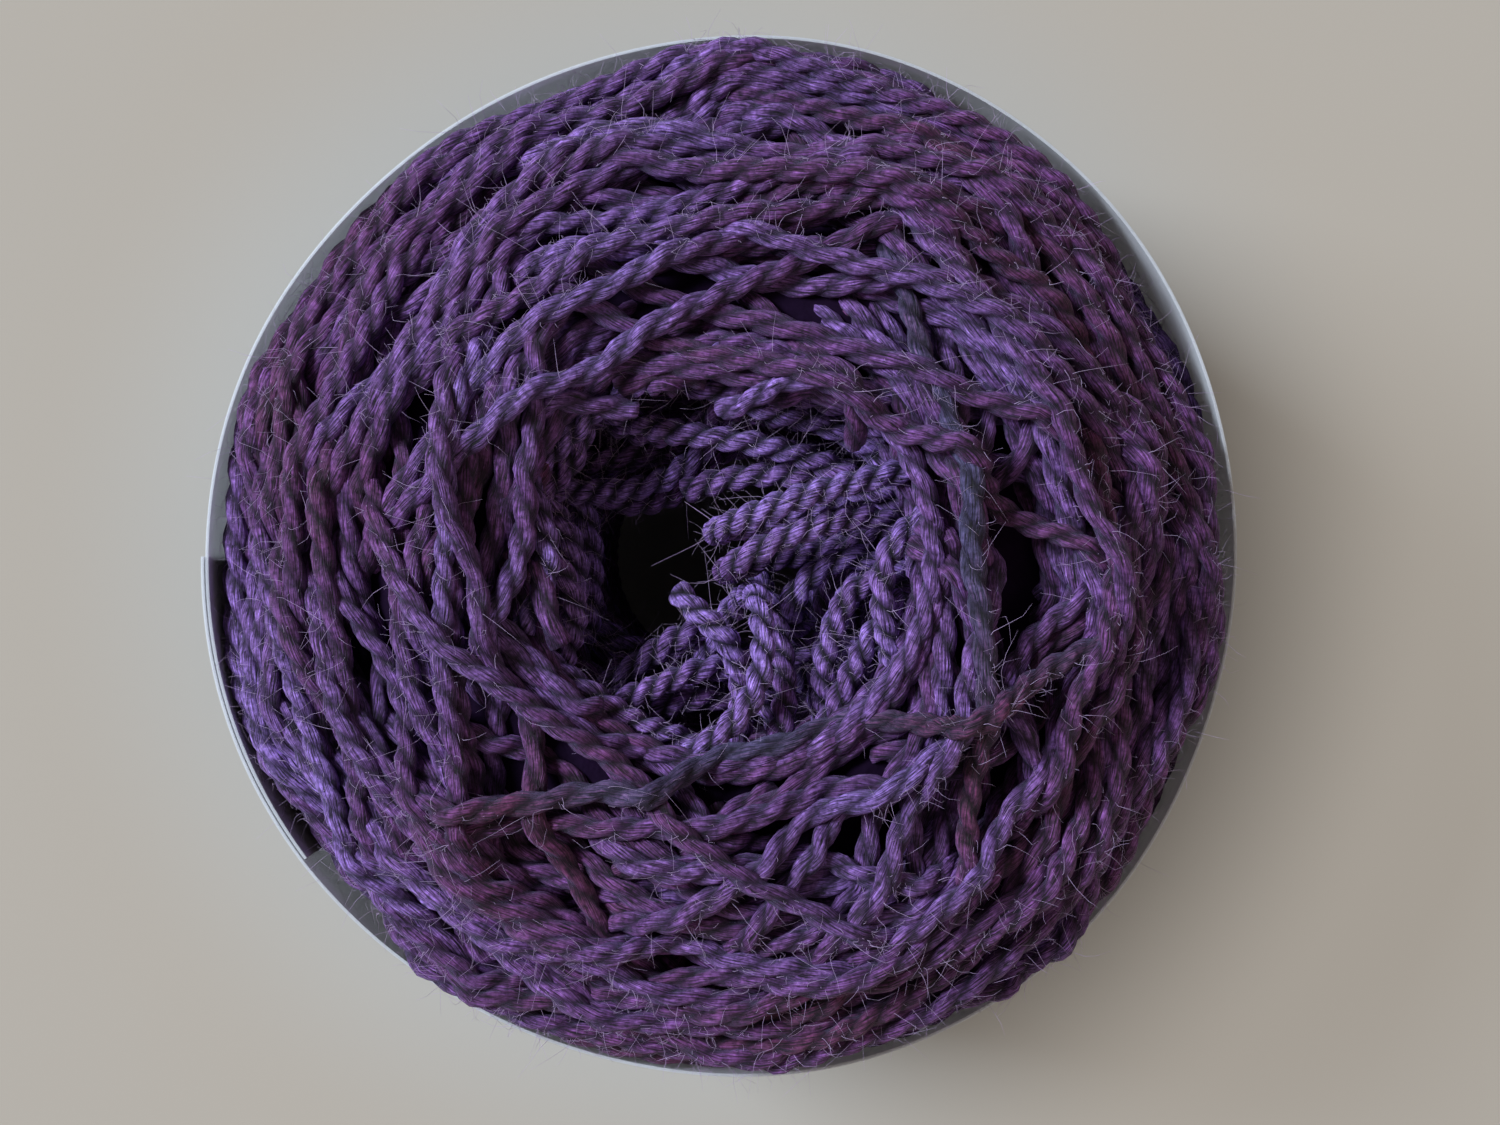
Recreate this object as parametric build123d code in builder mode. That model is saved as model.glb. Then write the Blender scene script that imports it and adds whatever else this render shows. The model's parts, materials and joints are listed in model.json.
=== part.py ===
from build123d import *
import os
from math import tan, radians

# Centre-pull ball of two-ply wool yarn, standing on its flat end, with a paper ball band.
# Millimetres. +Z is up along the hole through the ball; the origin is the middle of its foot.

# ---- driving dimensions -------------------------------------------------------------------
strand_diameter = 1.8         # the plied yarn, relaxed

ball_radius = 34.0            # at the equator
ball_half_height = 29.0       # equator to the crown, before the foot is pressed flat
foot_flattening = 1.0         # how much the foot is pressed in
side_fullness = 0.78          # 0.55 would be an ellipse; more is squarer
outer_layer_build = 8.0       # thickness of the outer layer at the equator
outer_layer_end_build = 2.2   # and at the crown and the foot
middle_layer_build = 8.0
middle_layer_end_build = 2.8

bore_radius = 9.0             # left by the winder's spindle
bore_length = 30.0            # straight wall, up from the foot
crater_radius = 12.5          # the slumped mouth of the hole
crater_cone_height = 10.0     # bore to crater
lip_radius = 2.0              # rounding of the crater's edge
loops_crater_radius = 12.5    # the crater and crown that the loops' routes are written for
loops_crown = 57.0

band_width = 28.0             # paper strip, along Z
band_thickness = 0.2
band_clearance = 0.4          # slack between the yarn and the paper
overlap_start = 180.0         # degrees: the paper's outer cut end
overlap_end = 216.0           # degrees: the paper's inner cut end
overlap_ramp = 20.0           # degrees over which the outer layer steps inward
glue_thickness = 0.1
glue_margin = 6.0             # degrees left without glue at each cut end
glue_height = 20.0

# ---- derived ------------------------------------------------------------------------------
equator = ball_half_height - foot_flattening
middle_radius = ball_radius - outer_layer_build
middle_half_height = ball_half_height - outer_layer_end_build
inner_radius = middle_radius - middle_layer_build
inner_half_height = middle_half_height - middle_layer_end_build
crater_floor = bore_length + crater_cone_height
crown = equator + ball_half_height
band_inner_radius = ball_radius + band_clearance
outer_layer_radius = band_inner_radius + band_thickness + glue_thickness
full_turn = 360.0


def barrel(radius, half_height):
    """Half section of one layer's outside: a rounded barrel about the equator."""
    bottom, top = equator - half_height, equator + half_height
    reach, rise = side_fullness * radius, side_fullness * half_height
    with BuildSketch() as section:
        with BuildLine():
            Bezier((0, bottom), (reach, bottom), (radius, equator - rise), (radius, equator))
            Bezier((radius, equator), (radius, equator + rise), (reach, top), (0, top))
            Line((0, top), (0, bottom))
        make_face()
    return section.sketch


def hole():
    """Half section of the hole: straight bore, cone, then the crater up through the crown."""
    with BuildSketch() as section:
        with BuildLine():
            Polyline(
                (0, -1),
                (bore_radius, -1),
                (bore_radius, bore_length),
                (crater_radius, crater_floor),
                (crater_radius, crown + 1),
                (0, crown + 1),
                close=True,
            )
        make_face()
    return section.sketch


def below_foot():
    """Everything under the flat foot."""
    with BuildSketch() as section:
        Rectangle(2 * ball_radius, equator, align=(Align.CENTER, Align.MAX))
    return section.sketch


def seat_in_crater(points):
    """Spread a route with the crater's radius and lift it with the crown."""
    spread, lift = crater_radius / loops_crater_radius, crown - loops_crown
    return [(x * spread, y * spread, z + lift) for x, y, z in points]


def corner_radii(points):
    """Largest tangent arc at each corner: 0.45 of the shorter run over tan(half the turn)."""
    corners = [Vector(*p) for p in points]
    radii = []
    for before, corner, after in zip(corners, corners[1:], corners[2:]):
        run_in, run_out = corner - before, after - corner
        half_turn = run_in.get_angle(run_out) / 2
        radii.append(0.45 * min(run_in.length, run_out.length) / tan(radians(half_turn)))
    return radii


# ---- the wound body, three layers --------------------------------------------------------
with BuildPart() as inner_wind:
    with BuildSketch(Plane.XZ):
        add(barrel(inner_radius, inner_half_height))
        add(hole(), mode=Mode.SUBTRACT)
    revolve(axis=Axis.Z)
inner_wind.part.label = "inner_wind"

with BuildPart() as middle_wind:
    with BuildSketch(Plane.XZ):
        add(barrel(middle_radius, middle_half_height))
        add(barrel(inner_radius, inner_half_height), mode=Mode.SUBTRACT)
        add(hole(), mode=Mode.SUBTRACT)
    revolve(axis=Axis.Z)
middle_wind.part.label = "middle_wind"

with BuildPart() as outer_wind:
    with BuildSketch(Plane.XZ) as outer_section:
        add(barrel(ball_radius, ball_half_height))
        add(barrel(middle_radius, middle_half_height), mode=Mode.SUBTRACT)
        add(hole(), mode=Mode.SUBTRACT)
        add(below_foot(), mode=Mode.SUBTRACT)
        fillet(outer_section.vertices().sort_by(Axis.Y)[-1], lip_radius)
    revolve(axis=Axis.Z)
outer_wind.part.label = "outer_wind"

# ---- first turns, slumped into the crater ------------------------------------------------
# Routes run from wall to wall; each end is pressed into the wound body.
crater_loops = {
    "top_loops": [
        [(-8.5, 10.5, 42.5), (-5.5, 8.5, 45.0), (-2.0, 7.9, 46.5), (2.3, 7.4, 46.6),
         (6.5, 6.3, 46.0), (10.0, 4.2, 45.0), (13.0, 2.9, 43.6)],
        [(-4.5, 12.6, 47.0), (-1.2, 10.3, 48.3), (3.2, 10.7, 49.0), (7.4, 10.1, 48.9),
         (10.9, 7.9, 48.0)],
        [(-3.2, 13.0, 44.5), (0.8, 9.9, 46.6), (5.0, 9.2, 47.0), (9.2, 7.6, 46.8),
         (12.4, 4.9, 45.9)],
    ],
    "upper_left_loops": [
        [(-12.0, 5.8, 46.0), (-8.9, 8.6, 47.5), (-6.7, 10.9, 49.3), (-2.5, 11.7, 50.8),
         (0.8, 13.4, 51.0)],
        [(-12.9, 3.4, 43.5), (-9.9, 5.6, 44.5), (-8.9, 8.4, 45.0), (-9.2, 9.9, 44.4)],
    ],
    "deep_loop": [
        [(2.5, 13.1, 41.6), (-0.8, 7.0, 42.6), (-4.3, 4.6, 41.9), (-8.4, 4.2, 41.2),
         (-12.6, 4.4, 41.4)],
    ],
    "right_pair_loops": [
        [(12.2, 5.6, 48.9), (8.1, 4.7, 50.2), (3.0, 3.1, 50.6), (-1.4, 1.5, 49.2),
         (-2.6, 0.9, 45.8), (1.5, 2.0, 43.4), (7.0, 3.6, 42.8), (11.9, 6.0, 42.4)],
        [(13.3, 1.2, 46.0), (10.2, 2.9, 47.6), (6.4, 2.2, 49.4), (2.4, 0.5, 49.9),
         (-0.8, -0.9, 48.4), (-1.5, -1.3, 44.8), (2.0, -0.4, 42.6), (7.5, 0.6, 42.0),
         (12.9, 1.4, 41.6)],
    ],
    "right_loops": [
        [(13.2, -1.6, 44.2), (9.4, 0.4, 45.6), (6.2, -0.6, 46.3), (4.2, -3.2, 45.6),
         (4.6, -5.2, 43.0), (8.0, -6.0, 41.5), (11.6, -6.4, 41.6)],
        [(13.1, 2.6, 50.0), (10.0, 0.2, 50.3), (10.4, -3.8, 50.4), (11.0, -7.4, 50.0)],
        [(13.0, -2.4, 47.4), (8.9, -1.0, 48.2), (7.2, -4.2, 49.0), (6.4, -8.2, 48.2),
         (7.2, -11.3, 46.0)],
        [(12.3, -5.2, 47.0), (9.6, -6.6, 48.0), (9.0, -9.8, 47.4)],
    ],
    "bottom_loops": [
        [(-2.6, -13.1, 49.9), (0.9, -10.9, 51.0), (2.9, -7.6, 51.2), (2.6, -3.6, 50.0),
         (2.3, -1.8, 46.8), (0.6, -3.4, 43.4), (-2.2, -8.2, 42.0), (-5.2, -12.3, 42.4)],
        [(-9.0, -9.9, 44.8), (-5.6, -9.2, 46.4), (-2.4, -7.6, 46.6), (0.0, -7.0, 45.0),
         (2.6, -8.8, 42.8), (4.4, -12.5, 42.6)],
        [(-11.7, -6.4, 47.6), (-8.9, -8.4, 48.8), (-5.8, -10.6, 49.2), (-2.6, -11.6, 48.2),
         (0.4, -13.3, 47.0)],
    ],
    "left_loops": [
        [(-12.4, 4.9, 49.2), (-11.0, 1.8, 50.2), (-10.8, -1.6, 50.2), (-12.6, -4.6, 49.4)],
        [(-13.2, 1.4, 46.2), (-10.2, -0.6, 47.2), (-9.0, -4.0, 46.4), (-10.8, -7.9, 44.2)],
    ],
}

# The free end that the knitter pulls: it hangs over the hole and comes up from the wall.
pull_end_route = [(-2.8, -2.2, 48.2), (-1.4, -3.7, 49.0), (0.6, -5.2, 48.6),
                  (1.6, -8.4, 46.8), (1.0, -13.2, 44.8)]

strands = dict(crater_loops, pull_end=[pull_end_route])

# ---- paper ball band ----------------------------------------------------------------------


def band_line(inset):
    """The strip seen from above, at one of its faces: outer layer, ramp, inner layer."""
    outer_radius, radius = outer_layer_radius + inset, band_inner_radius + inset
    outer_arc = CenterArc((0, 0), outer_radius, overlap_start, overlap_end - overlap_start)
    inner_start = overlap_end + overlap_ramp
    inner_sweep = full_turn - overlap_ramp
    inner_arc = CenterArc((0, 0), radius, inner_start, inner_sweep)
    Spline(outer_arc @ 1, inner_arc @ 0, tangents=(outer_arc % 1, inner_arc % 0))
    return outer_arc @ 0, inner_arc @ 1


with BuildPart() as paper_band:
    with BuildSketch(Plane.XY.offset(equator - band_width / 2)):
        with BuildLine():
            inside_start, inside_end = band_line(0)
            outside_start, outside_end = band_line(band_thickness)
            Line(inside_start, outside_start)
            Line(inside_end, outside_end)
        make_face()
    extrude(amount=band_width)
paper_band.part.label = "paper_band"

with BuildPart() as band_glue:
    with BuildSketch(Plane.XY.offset(equator - glue_height / 2)):
        glue_start = overlap_start + glue_margin
        glue_sweep = overlap_end - overlap_start - 2 * glue_margin
        with BuildLine():
            near = CenterArc((0, 0), outer_layer_radius - glue_thickness, glue_start, glue_sweep)
            far = CenterArc((0, 0), outer_layer_radius, glue_start, glue_sweep)
            Line(near @ 0, far @ 0)
            Line(near @ 1, far @ 1)
        make_face()
    extrude(amount=glue_height)
band_glue.part.label = "band_glue"

# ---- write the pieces ---------------------------------------------------------------------
os.makedirs("parts", exist_ok=True)

for name, routes in strands.items():
    with BuildPart() as strand_group:
        for route_points in routes:
            points = seat_in_crater(route_points)
            radii = corner_radii(points)
            print(name, "bend radii", [round(radius, 1) for radius in radii])
            with BuildLine() as route:
                FilletPolyline(*points, radius=radii)
            with BuildSketch(Plane(origin=route.line @ 0, z_dir=route.line % 0)):
                Circle(strand_diameter / 2)
            sweep()
    strand_group.part.label = name
    export_step(strand_group.part, f"parts/{name}.step")

export_step(inner_wind.part, "parts/inner_wind.step")
export_step(middle_wind.part, "parts/middle_wind.step")
export_step(outer_wind.part, "parts/outer_wind.step")
export_step(paper_band.part, "parts/paper_band.step")
export_step(band_glue.part, "parts/band_glue.step")
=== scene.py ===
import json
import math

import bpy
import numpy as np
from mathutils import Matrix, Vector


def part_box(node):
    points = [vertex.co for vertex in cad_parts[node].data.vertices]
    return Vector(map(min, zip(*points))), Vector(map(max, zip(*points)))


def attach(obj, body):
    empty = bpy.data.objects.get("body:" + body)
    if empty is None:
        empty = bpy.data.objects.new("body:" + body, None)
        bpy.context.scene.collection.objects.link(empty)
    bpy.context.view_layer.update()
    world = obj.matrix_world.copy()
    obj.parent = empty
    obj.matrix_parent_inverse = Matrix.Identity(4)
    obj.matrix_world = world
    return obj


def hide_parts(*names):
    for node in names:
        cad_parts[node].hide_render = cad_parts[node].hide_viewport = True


bl_info = {
    "name": "Yarn ball",
    "version": (1, 0, 0),
    "blender": (4, 5, 0),
    "location": "View3D > Sidebar > Yarn ball",
    "description": "Centre-pull ball of two-ply wool with a paper band, built round its CAD frame",
    "category": "Add Mesh",
}

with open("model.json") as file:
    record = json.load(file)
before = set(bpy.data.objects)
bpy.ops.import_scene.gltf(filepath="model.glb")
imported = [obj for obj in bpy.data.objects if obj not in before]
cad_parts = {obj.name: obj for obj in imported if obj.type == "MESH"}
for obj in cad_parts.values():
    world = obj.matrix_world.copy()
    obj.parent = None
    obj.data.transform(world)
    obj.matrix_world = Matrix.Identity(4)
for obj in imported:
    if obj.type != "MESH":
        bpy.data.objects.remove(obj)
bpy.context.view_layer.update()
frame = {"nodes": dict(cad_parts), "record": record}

MM = 0.001                      # shapes are worked out in millimetres and stored in metres
TURN = 2 * math.pi


def in_mm(node):
    """Lowest and highest corner of a CAD node, in millimetres."""
    return [np.array(corner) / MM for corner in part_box(node)]


ball_low, ball_high = in_mm("outer_wind")
band_low, band_high = in_mm("paper_band")
EQUATOR = (band_low[2] + band_high[2]) / 2
BALL_RADIUS = (ball_high[0] - ball_low[0]) / 2
HALF_HEIGHT = EQUATOR + 1.0     # the foot is pressed in by this last millimetre
CORNER = 3.0                    # exponent of the ball's rounded-barrel section; 2 is an ellipse
BORE_RADIUS = frame["record"]["mounts"][1]["dims"]["r_mm"]
BORE_LENGTH = frame["record"]["mounts"][1]["dims"]["length_mm"]
CRATER_RADIUS = 12.5
CRATER_FLOOR = BORE_LENGTH + 10.0     # above the cone between bore and crater
BAND_INSIDE = band_high[0] - 0.2
BAND_HALF = (band_high[2] - band_low[2]) / 2

# ---- sizes and colours ----------------------------------------------------------------------


class YarnSettings(bpy.types.PropertyGroup):
    ply_radius: bpy.props.FloatProperty(
        name="Ply radius", description="Radius of one ply", default=0.565 * MM, unit="LENGTH")
    ply_offset: bpy.props.FloatProperty(
        name="Ply offset", description="From the strand's middle to a ply's middle",
        default=0.265 * MM, unit="LENGTH")
    taut_pitch: bpy.props.FloatProperty(
        name="Taut pitch", description="Length of one turn of twist in the wound strand",
        default=5.4 * MM, unit="LENGTH")
    slack_pitch: bpy.props.FloatProperty(
        name="Slack pitch", description="Length of one turn of twist in the loose loops",
        default=3.3 * MM, unit="LENGTH")
    violet: bpy.props.FloatVectorProperty(
        name="Violet", description="Bluest of the dyed tones", subtype="COLOR",
        default=(0.165, 0.092, 0.280), min=0, max=1)
    plum: bpy.props.FloatVectorProperty(
        name="Plum", description="Middle tone", subtype="COLOR", default=(0.120, 0.041, 0.146),
        min=0, max=1)
    wine: bpy.props.FloatVectorProperty(
        name="Wine", description="Reddest of the dyed tones", subtype="COLOR",
        default=(0.110, 0.026, 0.070), min=0, max=1)
    slate: bpy.props.FloatVectorProperty(
        name="Slate", description="Grey-blue stretches", subtype="COLOR",
        default=(0.072, 0.058, 0.130), min=0, max=1)
    hair_colour: bpy.props.FloatVectorProperty(
        name="Hair", description="Colour of the fine hairs", subtype="COLOR",
        default=(0.80, 0.56, 0.88), min=0, max=1)
    hair_count: bpy.props.IntProperty(
        name="Hairs", description="How many fine hairs stand off the ball", default=26000)


class BandSettings(bpy.types.PropertyGroup):
    paper: bpy.props.FloatVectorProperty(
        name="Paper", description="Colour of the paper band", subtype="COLOR",
        default=(0.60, 0.59, 0.61), min=0, max=1)
    paste: bpy.props.FloatVectorProperty(
        name="Paste", description="Colour of the dried paste in the lap", subtype="COLOR",
        default=(0.62, 0.56, 0.42), min=0, max=1)
    thickness: bpy.props.FloatProperty(
        name="Thickness", description="Thickness of the paper", default=0.2 * MM, unit="LENGTH")


class StageSettings(bpy.types.PropertyGroup):
    floor: bpy.props.FloatVectorProperty(
        name="Floor", description="Colour of the floor", subtype="COLOR",
        default=(0.46, 0.42, 0.37), min=0, max=1)
    camera_height: bpy.props.FloatProperty(
        name="Camera height", description="Camera above the floor", default=0.209, unit="LENGTH")


def settings():
    """The three groups of settings on the scene."""
    scene = bpy.context.scene
    return scene.yarn_settings, scene.band_settings, scene.stage_settings


# ---- meshes ---------------------------------------------------------------------------------


def unit(vectors):
    """Each vector over its own length."""
    return vectors / np.maximum(np.linalg.norm(vectors, axis=-1, keepdims=True), 1e-9)


def placed(name, data):
    """A new object of that data, in the scene."""
    thing = bpy.data.objects.new(name, data)
    bpy.context.scene.collection.objects.link(thing)
    return thing


def new_piece(name, points, quads, material, body, triangles=None, uv=None, shades=None):
    """Arrays in millimetres become a smooth mesh object in metres that rides on a body."""
    triangles = np.zeros((0, 3), int) if triangles is None else triangles
    mesh = bpy.data.meshes.new(name)
    mesh.vertices.add(len(points))
    mesh.vertices.foreach_set("co", (points * MM).astype(np.float32).ravel())
    corners = np.concatenate([quads.ravel(), triangles.ravel()])
    starts = np.concatenate([np.arange(len(quads)) * 4,
                             len(quads) * 4 + np.arange(len(triangles)) * 3])
    mesh.loops.add(len(corners))
    mesh.loops.foreach_set("vertex_index", corners.astype(np.int32))
    mesh.polygons.add(len(starts))
    mesh.polygons.foreach_set("loop_start", starts.astype(np.int32))
    mesh.polygons.foreach_set("use_smooth", np.ones(len(starts), bool))
    if uv is not None:
        layer = mesh.uv_layers.new(name="along")
        layer.uv.foreach_set("vector", uv.astype(np.float32).ravel())
    for shade, values in (shades or {}).items():
        mesh.attributes.new(shade, "FLOAT", "POINT").data.foreach_set(
            "value", values.astype(np.float32))
    mesh.update(calc_edges=True)
    mesh.validate()
    mesh.materials.append(material)
    piece = placed(name, mesh)
    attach(piece, body)
    return piece


def round_axis(radius, angle, height):
    """Points at a radius and an angle from the ball's axis and at a height."""
    across, along = radius * np.cos(angle), radius * np.sin(angle)
    return np.stack(np.broadcast_arrays(across, along, height), axis=-1)


def arc_length(line):
    """Distance along a line from its start to each of its points."""
    steps = np.linalg.norm(np.diff(line, axis=0), axis=1)
    return np.concatenate([[0], np.cumsum(steps)])


def tube_quads(rows, sides, closed=False):
    """Quads between neighbouring rings of a tube; closed also joins the last ring to the first."""
    i, j = np.meshgrid(np.arange(rows if closed else rows - 1), np.arange(sides), indexing="ij")
    i2, j2 = (i + 1) % rows, (j + 1) % sides
    corners = [i * sides + j, i * sides + j2, i2 * sides + j2, i2 * sides + j]
    return np.stack(corners, axis=-1).reshape(-1, 4)


def lid_quads(sides):
    """Quads that close one ring, in strips from its first points to its last ones."""
    i = np.arange(sides // 2 - 1)
    return np.stack([i, i + 1, sides - 2 - i, sides - 1 - i], axis=-1)


def smooth_noise(distance, wavelengths, rng):
    """A sum of sines of the given wavelengths along a distance, each with a random phase,
    and an amplitude that makes the whole stay near -1 to 1."""
    phases = rng.uniform(0, TURN, len(wavelengths))
    waves = [np.sin(TURN * distance / length + phase)
             for length, phase in zip(wavelengths, phases)]
    return np.sum(waves, axis=0) / math.sqrt(len(wavelengths))


# ---- the two-ply strand ---------------------------------------------------------------------

GROOVE_SHADE_POWER = 3.2              # how narrow the painted shade in the crease between two plies is
MOST_QUADS = 96000              # faces in one object of strands


def ply_section(across, ply_radius, ply_offset):
    """Angles and radii of the strand's section, the outline of two overlapping circles: at angle a
    the radius is offset |cos a| + sqrt(ply radius squared - (offset sin a) squared). The angles
    across one ply's back, from groove to groove, are given in degrees from its middle."""
    back = np.radians(across)
    angle = np.concatenate([back, [TURN / 4], back + TURN / 2, [TURN * 3 / 4]])
    reach = np.abs(np.cos(angle)) * ply_offset
    reach += np.sqrt(ply_radius ** 2 - (ply_offset * np.sin(angle)) ** 2)
    return angle, reach


def twisted(line, outward, pitch, section, girth, dye, keep, depth=0.85):
    """The rings of a strand along a line, with everything its mesh needs, for join_strands.

    The section of ply_section is set square to the line and turned left-handed, once in each
    pitch of length. Its zero angle follows `outward`. girth scales it, point by point. depth is how
    dark the painted shade in the grooves between the plies is."""
    angle, reach = section
    along = unit(np.gradient(line, axis=0))
    over = unit(outward - along * np.sum(outward * along, axis=1, keepdims=True))
    side = np.cross(over, along)
    arc = arc_length(line)
    twist = np.cumsum(np.concatenate([[0], np.diff(arc) / pitch[1:]])) * TURN
    turned = angle[None] - twist[:, None]
    ring = np.cos(turned)[..., None] * side[:, None] + np.sin(turned)[..., None] * over[:, None]
    rings = line[:, None] + ring * (reach[None] * girth[:, None])[..., None]
    around = np.concatenate([turned, turned[:, :1] + TURN], axis=1) / TURN
    # painted shade: the colour darkens towards the crease between the plies and not on their backs
    groove = np.broadcast_to(np.abs(np.sin(angle)) ** GROOVE_SHADE_POWER * depth, turned.shape)
    return {"rings": rings, "arc": arc, "around": around, "groove": groove, "dye": dye,
            "keep": keep}


def join_strands(strands):
    """One mesh of many strands: each kept run of rings is a tube of quads with both ends closed."""
    rings, arc, around, groove, dye, keep = (
        np.concatenate([strand[key] for strand in strands])
        for key in ("rings", "arc", "around", "groove", "dye", "keep"))
    count, sides = rings.shape[:2]
    last = np.cumsum([len(strand["arc"]) for strand in strands]) - 1
    joined = keep[:-1] & keep[1:]
    joined[last[:-1]] = False
    here = np.nonzero(joined)[0]
    j = np.arange(sides)
    k = (j + 1) % sides
    low, high = here[:, None] * sides, (here[:, None] + 1) * sides
    walls = np.stack([low + j, low + k, high + k, high + j], axis=-1).reshape(-1, 4)
    u_low, u_high = (np.broadcast_to(arc[row, None], (len(here), sides))
                     for row in (here, here + 1))
    wall_u = np.stack([u_low, u_low, u_high, u_high], axis=-1)
    wall_v = np.stack([around[here][:, :-1], around[here][:, 1:],
                       around[here + 1][:, 1:], around[here + 1][:, :-1]], axis=-1)
    wall_uv = np.stack([wall_u, wall_v], axis=-1).reshape(-1, 2)
    before = np.concatenate([[False], joined])
    after = np.concatenate([joined, [False]])
    ends, starts = (np.nonzero(edge)[0][:, None, None] * sides
                    for edge in (before & ~after, after & ~before))
    lid = lid_quads(sides)
    lids = np.concatenate([(ends + lid).reshape(-1, 4), (starts + lid[:, ::-1]).reshape(-1, 4)])
    quads = np.concatenate([walls, lids])
    uv = np.concatenate([wall_uv, np.zeros((lids.size, 2))])
    used = np.unique(quads)
    renumber = np.zeros(count * sides, int)
    renumber[used] = np.arange(len(used))
    shades = {"dye": np.repeat(dye, sides)[used], "groove": groove.ravel()[used]}
    return rings.reshape(-1, 3)[used], renumber[quads], uv, shades


def strand_pieces(name, strands):
    """The strands as one or more objects of at most MOST_QUADS faces, cut between strands."""
    groups, filled = [[]], 0
    for strand in strands:
        sides = strand["rings"].shape[1]
        size = int((strand["keep"][:-1] & strand["keep"][1:]).sum()) * sides
        if filled + size > MOST_QUADS and groups[-1]:
            groups.append([])
            filled = 0
        groups[-1].append(strand)
        filled += size
    pieces = []
    for number, group in enumerate(groups):
        points, quads, uv, shades = join_strands(group)
        label = name if len(groups) == 1 else f"{name}_{number + 1}"
        pieces.append(new_piece(label, points, quads, bpy.data.materials["plied_wool"], "ball",
                                uv=uv, shades=shades))
    return pieces


# ---- the ball's shape -----------------------------------------------------------------------

# How far the yarn's shoulder stays from the paper's upper edge, by azimuth in degrees.
SHOULDER_GAPS = [(0, 1.5), (33, 1.6), (50, 1.2), (62, 0.25), (76, 0.3), (90, 0.6), (120, 0.3),
                 (145, 0.8), (165, 0.8), (185, 1.2), (216, 1.2), (232, 0.8), (250, 0.5),
                 (275, 0.4), (292, 0.2), (310, 0.2), (330, 1.1), (345, 1.1)]
SHOULDER_FALL = 2.5             # how far the plain section falls back at the paper's edge
SHOULDER_AT, SHOULDER_WIDTH = 24, 12    # elevation and spread of the fuller shoulder, degrees
FOOT = 3.0                      # strands lower than this are pressed up onto the floor


def out_of_round(azimuth):
    """The ball and its band are pressed slightly out of round: three harmonics, in millimetres."""
    return (0.25 * np.cos(azimuth) - 0.15 * np.cos(2 * azimuth) + 0.20 * np.sin(2 * azimuth)
            - 0.35 * np.cos(3 * azimuth))


def plain_reach(elevation):
    """Distance from the ball's middle to its outside: one over the cube root of
    (cos e / radius) cubed plus (sin e / half height) cubed."""
    level = np.abs(np.cos(elevation)) / BALL_RADIUS
    rise = np.abs(np.sin(elevation)) / HALF_HEIGHT
    return (level ** CORNER + rise ** CORNER) ** (-1 / CORNER)


def reach(directions):
    """plain_reach, plus the out-of-round and the fuller shoulder above the band."""
    azimuth = np.arctan2(directions[..., 1], directions[..., 0])
    elevation = np.arcsin(np.clip(directions[..., 2], -1, 1))
    gap_at, gap = np.array(SHOULDER_GAPS).T
    gaps = np.interp(np.degrees(azimuth) % 360, gap_at, gap, period=360)
    shoulder = np.exp(-((np.degrees(elevation) - SHOULDER_AT) / SHOULDER_WIDTH) ** 2)
    fuller = (SHOULDER_FALL - gaps) * shoulder
    return plain_reach(elevation) + out_of_round(azimuth) * np.cos(elevation) ** 2 + fuller


def settle(points, girth):
    """Keeps strand middles inside the band and above the floor: beyond the band's inside the
    distance from the axis is capped, and the lowest stretch is pressed up onto the floor."""
    azimuth = np.arctan2(points[:, 1], points[:, 0])
    level = np.hypot(points[:, 0], points[:, 1])
    most = BAND_INSIDE + out_of_round(azimuth) - 0.2 - girth
    zone = np.abs(points[:, 2] - EQUATOR) < BAND_HALF + 1.5
    scale = np.where(zone, np.minimum(level, most) / np.maximum(level, 1e-6), 1)
    settled = points * np.stack([scale, scale, np.ones_like(scale)], axis=1)
    sunk = np.clip((FOOT - settled[:, 2]) / FOOT, 0, None)
    settled[:, 2] = np.where(settled[:, 2] < FOOT, girth + (FOOT - girth) / (1 + sunk),
                             settled[:, 2])
    return settled


# ---- winding --------------------------------------------------------------------------------

SAMPLES = 210                   # points in one turn, a millimetre apart
CROSSING = 1.12                 # rise where a strand crosses another, less than its thickness
PULLS = 10                      # how far the pull of the strand evens out its heights
STEEP_TURNS, MIXED_TURNS = 128, 46      # turns wound before those over the crown
LOW_TURNS = 96                  # turns wound after them, ever flatter

# The last turns over the crown: azimuth and distance of the point nearest the hole.
CROWN_TURNS = [(305, 20.0), (305, 18.9), (340, 18.7), (7, 16.4), (23, 23.0), (65, 12.9),
               (68, 16.9), (85, 20.9), (122, 16.2), (125, 19.1), (180, 18.6), (190, 16.5),
               (230, 16.4), (285, 14.2)]
GREY_TURNS = (3, 13)            # those of them with a grey-blue stretch
LEAN = np.array([1.2, -1.9])    # the crown's turns sit this far off the axis

KEPT_DEPTH = 6.9                # strands deeper than this are left out
CORE_DEPTH = 5.9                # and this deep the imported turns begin
OPEN_DEPTH = 2.4                # hairs start only from strands less deep than this


def tilt_passing(distance):
    """The tilt whose turn passes the axis at that distance, read off the ball's section."""
    tilts = np.radians(np.linspace(80, 10, 200))
    return np.interp(distance, plain_reach(tilts) * np.cos(tilts), tilts)


def drifting(count, lowest, highest, length, rng):
    """count values that wander smoothly between two bounds, with waves of about that length."""
    wave = smooth_noise(np.arange(count), (length, length * 0.61, length * 0.37), rng)
    return (lowest + highest) / 2 + (highest - lowest) / 2 * np.clip(wave * 1.2, -1, 1)


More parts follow.
